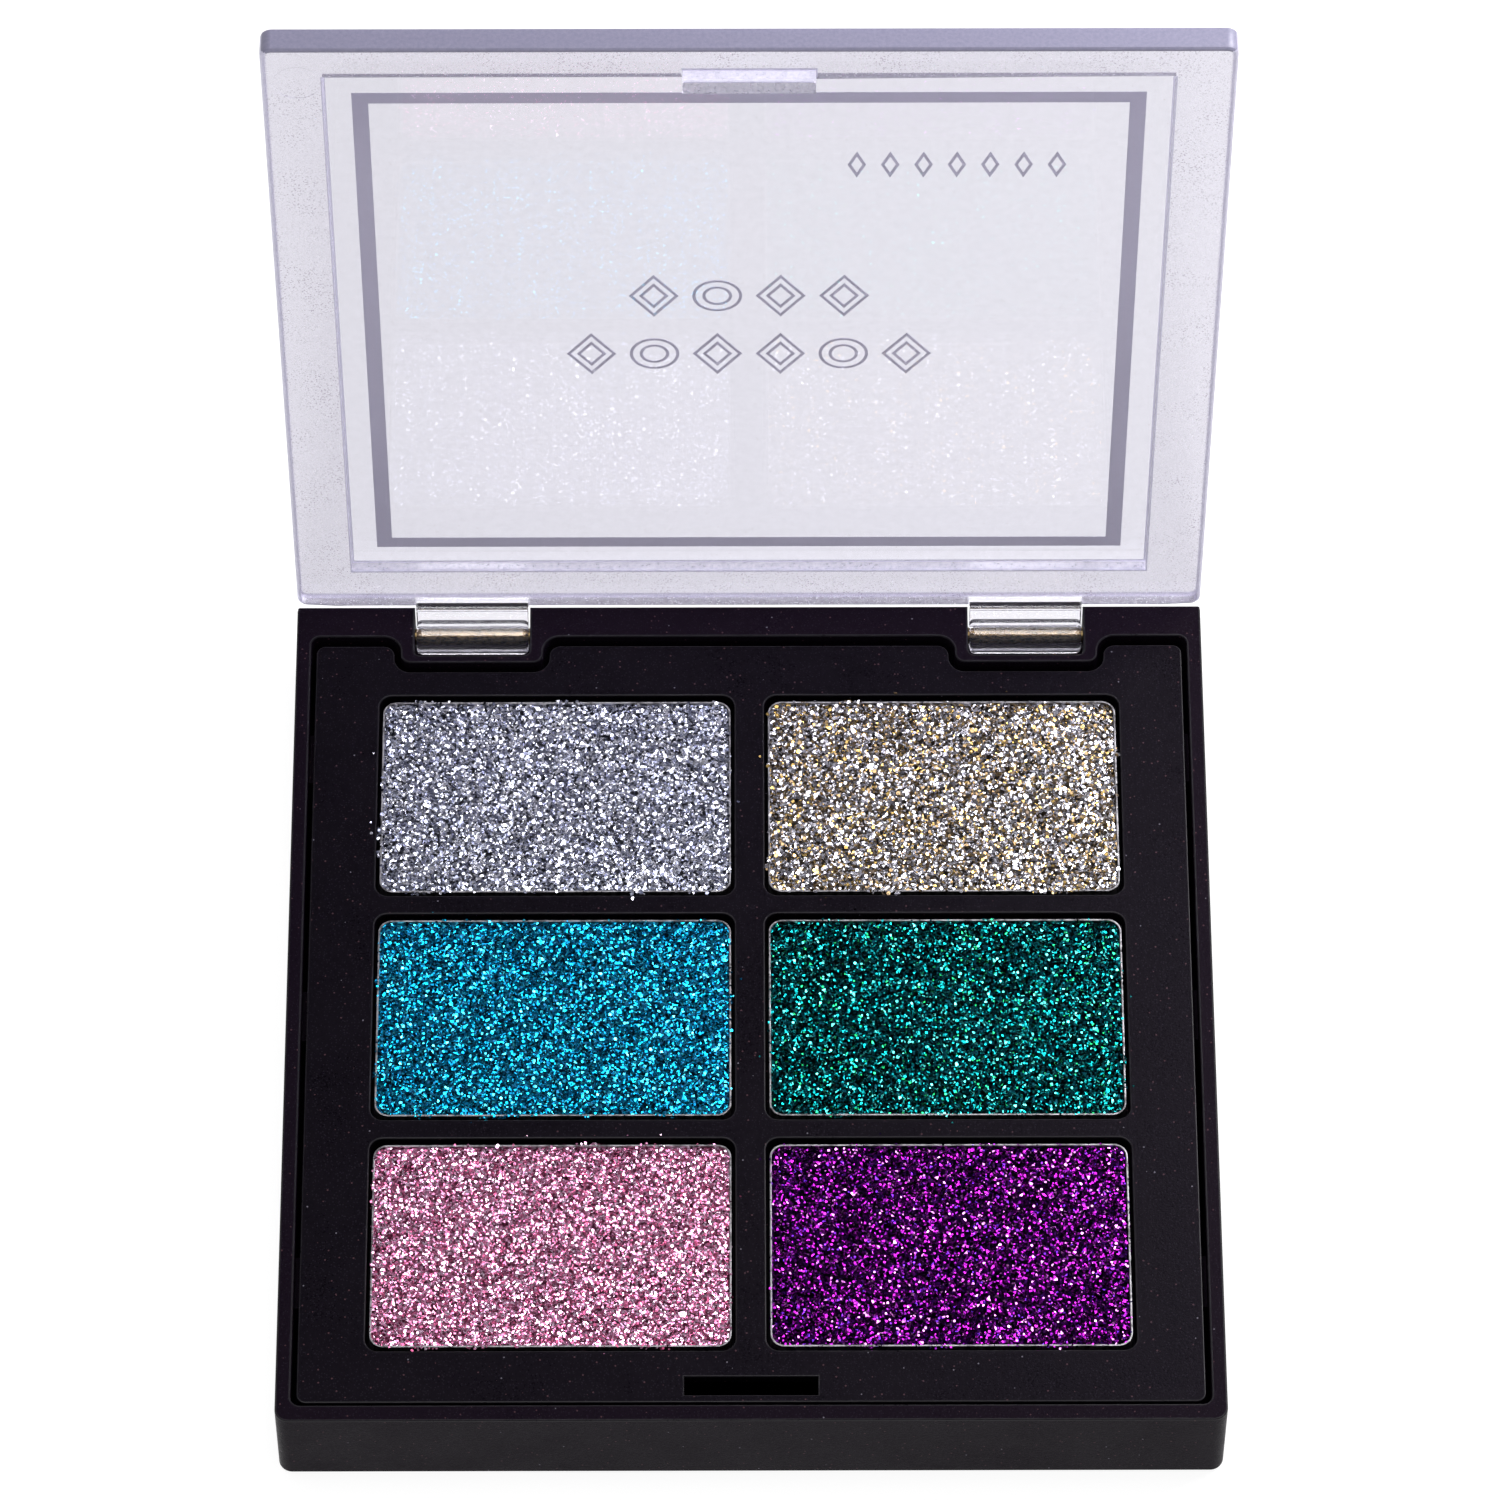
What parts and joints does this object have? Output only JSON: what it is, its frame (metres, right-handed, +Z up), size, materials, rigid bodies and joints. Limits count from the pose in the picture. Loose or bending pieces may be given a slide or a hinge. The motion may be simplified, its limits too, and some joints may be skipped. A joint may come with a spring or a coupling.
{
  "type": "eyeshadow palette",
  "caption": "Square pressed-glitter eyeshadow palette: black case with an insert tray of pans and a clear lid hinged on two metal pins.",
  "frame": {"origin": "centre of the case's flat underside", "axes": "+X to the right seen from the front, +Y towards the hinge side, +Z up; the lid stands open"},
  "size_m": [0.098, 0.1081, 0.1053],
  "materials": {
    "black_plastic": "satin moulded black",
    "tray_plastic": "satin moulded black",
    "clear_plastic": "clear, faint lavender tint",
    "pan_metal": "bright tinplate",
    "pin_brass": "drawn",
    "ink_silver": "silver-grey print",
    "adhesive": "soft adhesive",
    "glitter_silver": "pressed metallic glitter",
    "glitter_champagne": "pressed metallic glitter",
    "glitter_turquoise": "pressed metallic glitter",
    "glitter_emerald": "pressed metallic glitter",
    "glitter_pink": "pressed metallic glitter",
    "glitter_purple": "pressed metallic glitter"
  },
  "bodies": {
    "base": {"base_case": "black_plastic", "insert_tray": "tray_plastic", "pan_silver": "pan_metal", "pan_champagne": "pan_metal", "pan_turquoise": "pan_metal", "pan_emerald": "pan_metal", "pan_pink": "pan_metal", "pan_purple": "pan_metal", "cake_silver": "glitter_silver", "cake_champagne": "glitter_champagne", "cake_turquoise": "glitter_turquoise", "cake_emerald": "glitter_emerald", "cake_pink": "glitter_pink", "cake_purple": "glitter_purple", "glue_silver": "adhesive", "glue_champagne": "adhesive", "glue_turquoise": "adhesive", "glue_emerald": "adhesive", "glue_pink": "adhesive", "glue_purple": "adhesive", "hinge_pin_left": "pin_brass", "hinge_pin_right": "pin_brass"},
    "lid": {"lid_shell": "clear_plastic", "printed_frame": "ink_silver", "printed_ornament": "ink_silver"}
  },
  "joints": [
    {"name": "lid_hinge", "type": "hinge", "parent": "base", "child": "lid", "pos_m": [0, 0.04735, 0.009], "axis": [1, 0, 0], "range_deg": [0, 93.4]}
  ]
}
